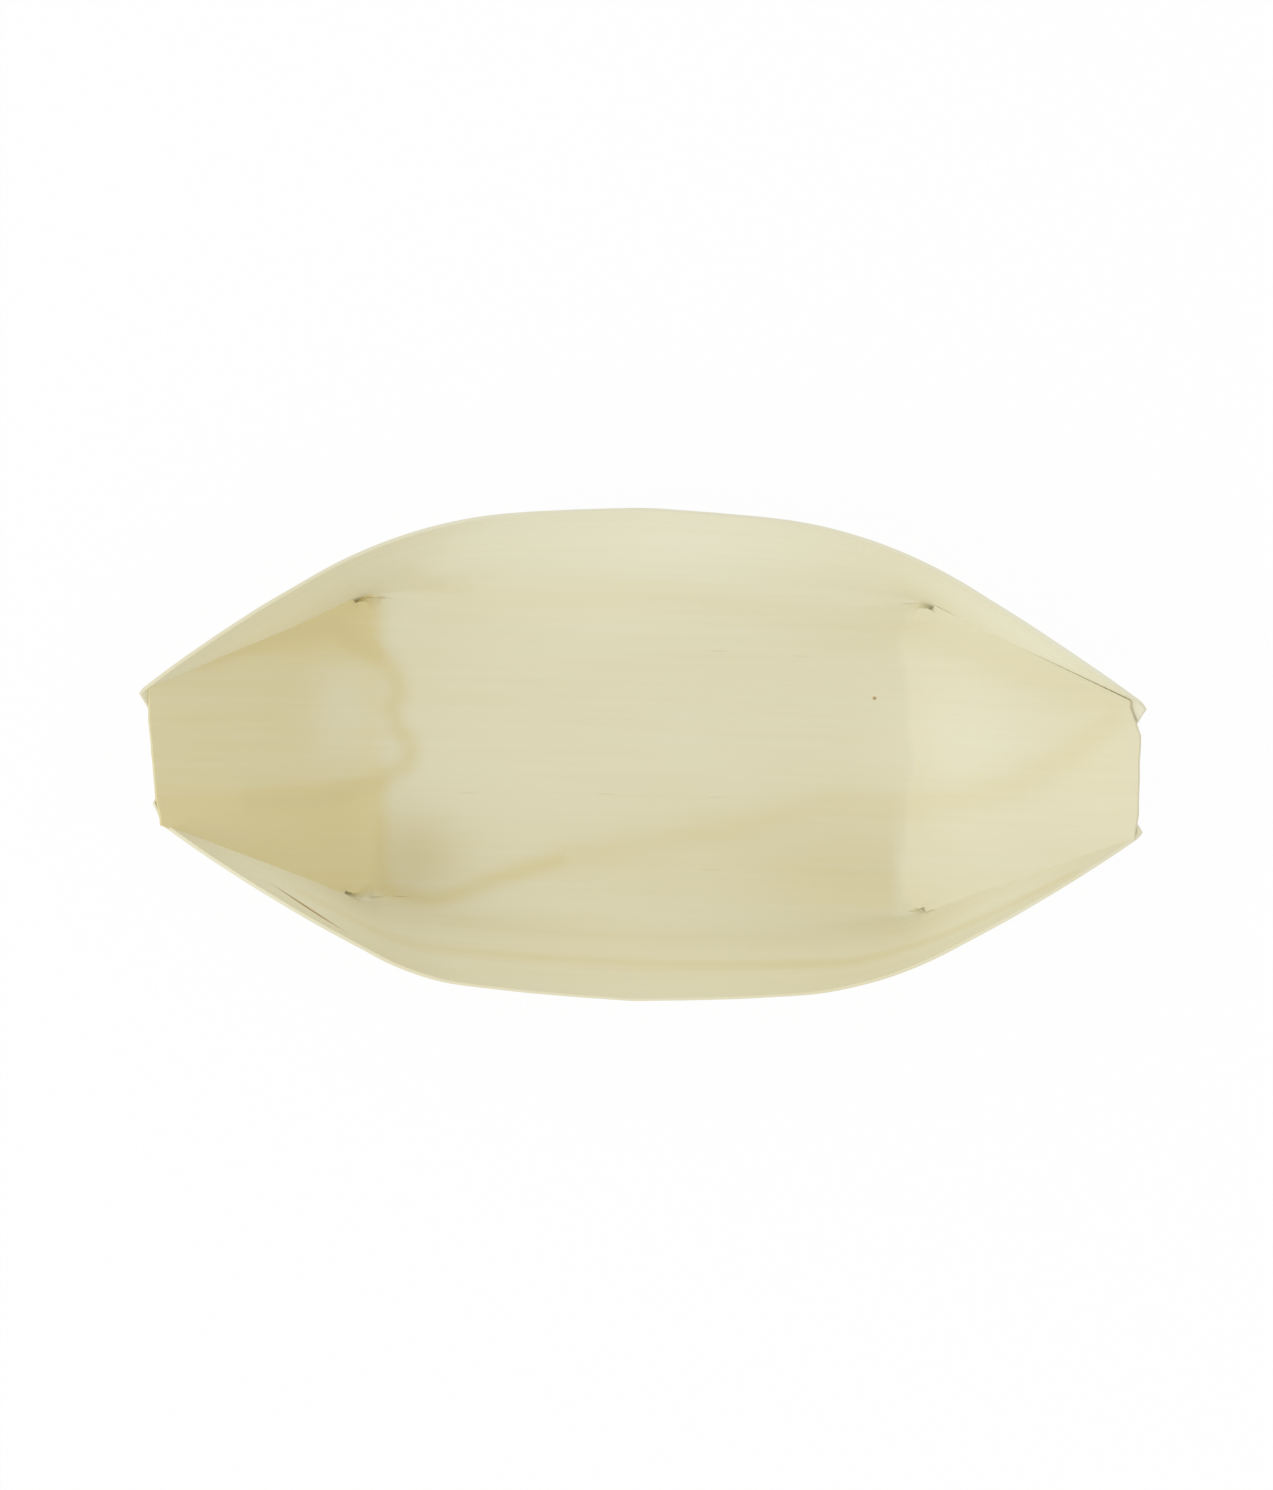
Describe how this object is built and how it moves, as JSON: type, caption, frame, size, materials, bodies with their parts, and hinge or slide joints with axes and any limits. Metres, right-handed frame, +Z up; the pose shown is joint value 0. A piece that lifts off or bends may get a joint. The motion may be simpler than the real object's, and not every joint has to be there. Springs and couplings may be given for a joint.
{
  "type": "wooden food boat",
  "caption": "Disposable food boat folded from a thin pale wood veneer blank: flat floor, outward sloping sides and raised tongue ramps that narrow to blunt tips.",
  "frame": {"origin": "middle of the flat underside of the floor, under the middle of the boat's length and width", "axes": "+X along the boat and along the wood grain, towards the end with the crisp fold; +Y across; +Z up, out of the open top"},
  "size_m": [0.1698, 0.0838, 0.0274],
  "materials": {
    "veneer": "raw sanded pale veneer, matt to satin, grain along the length"
  },
  "bodies": {
    "root": {"veneer_boat": "veneer"}
  },
  "joints": []
}
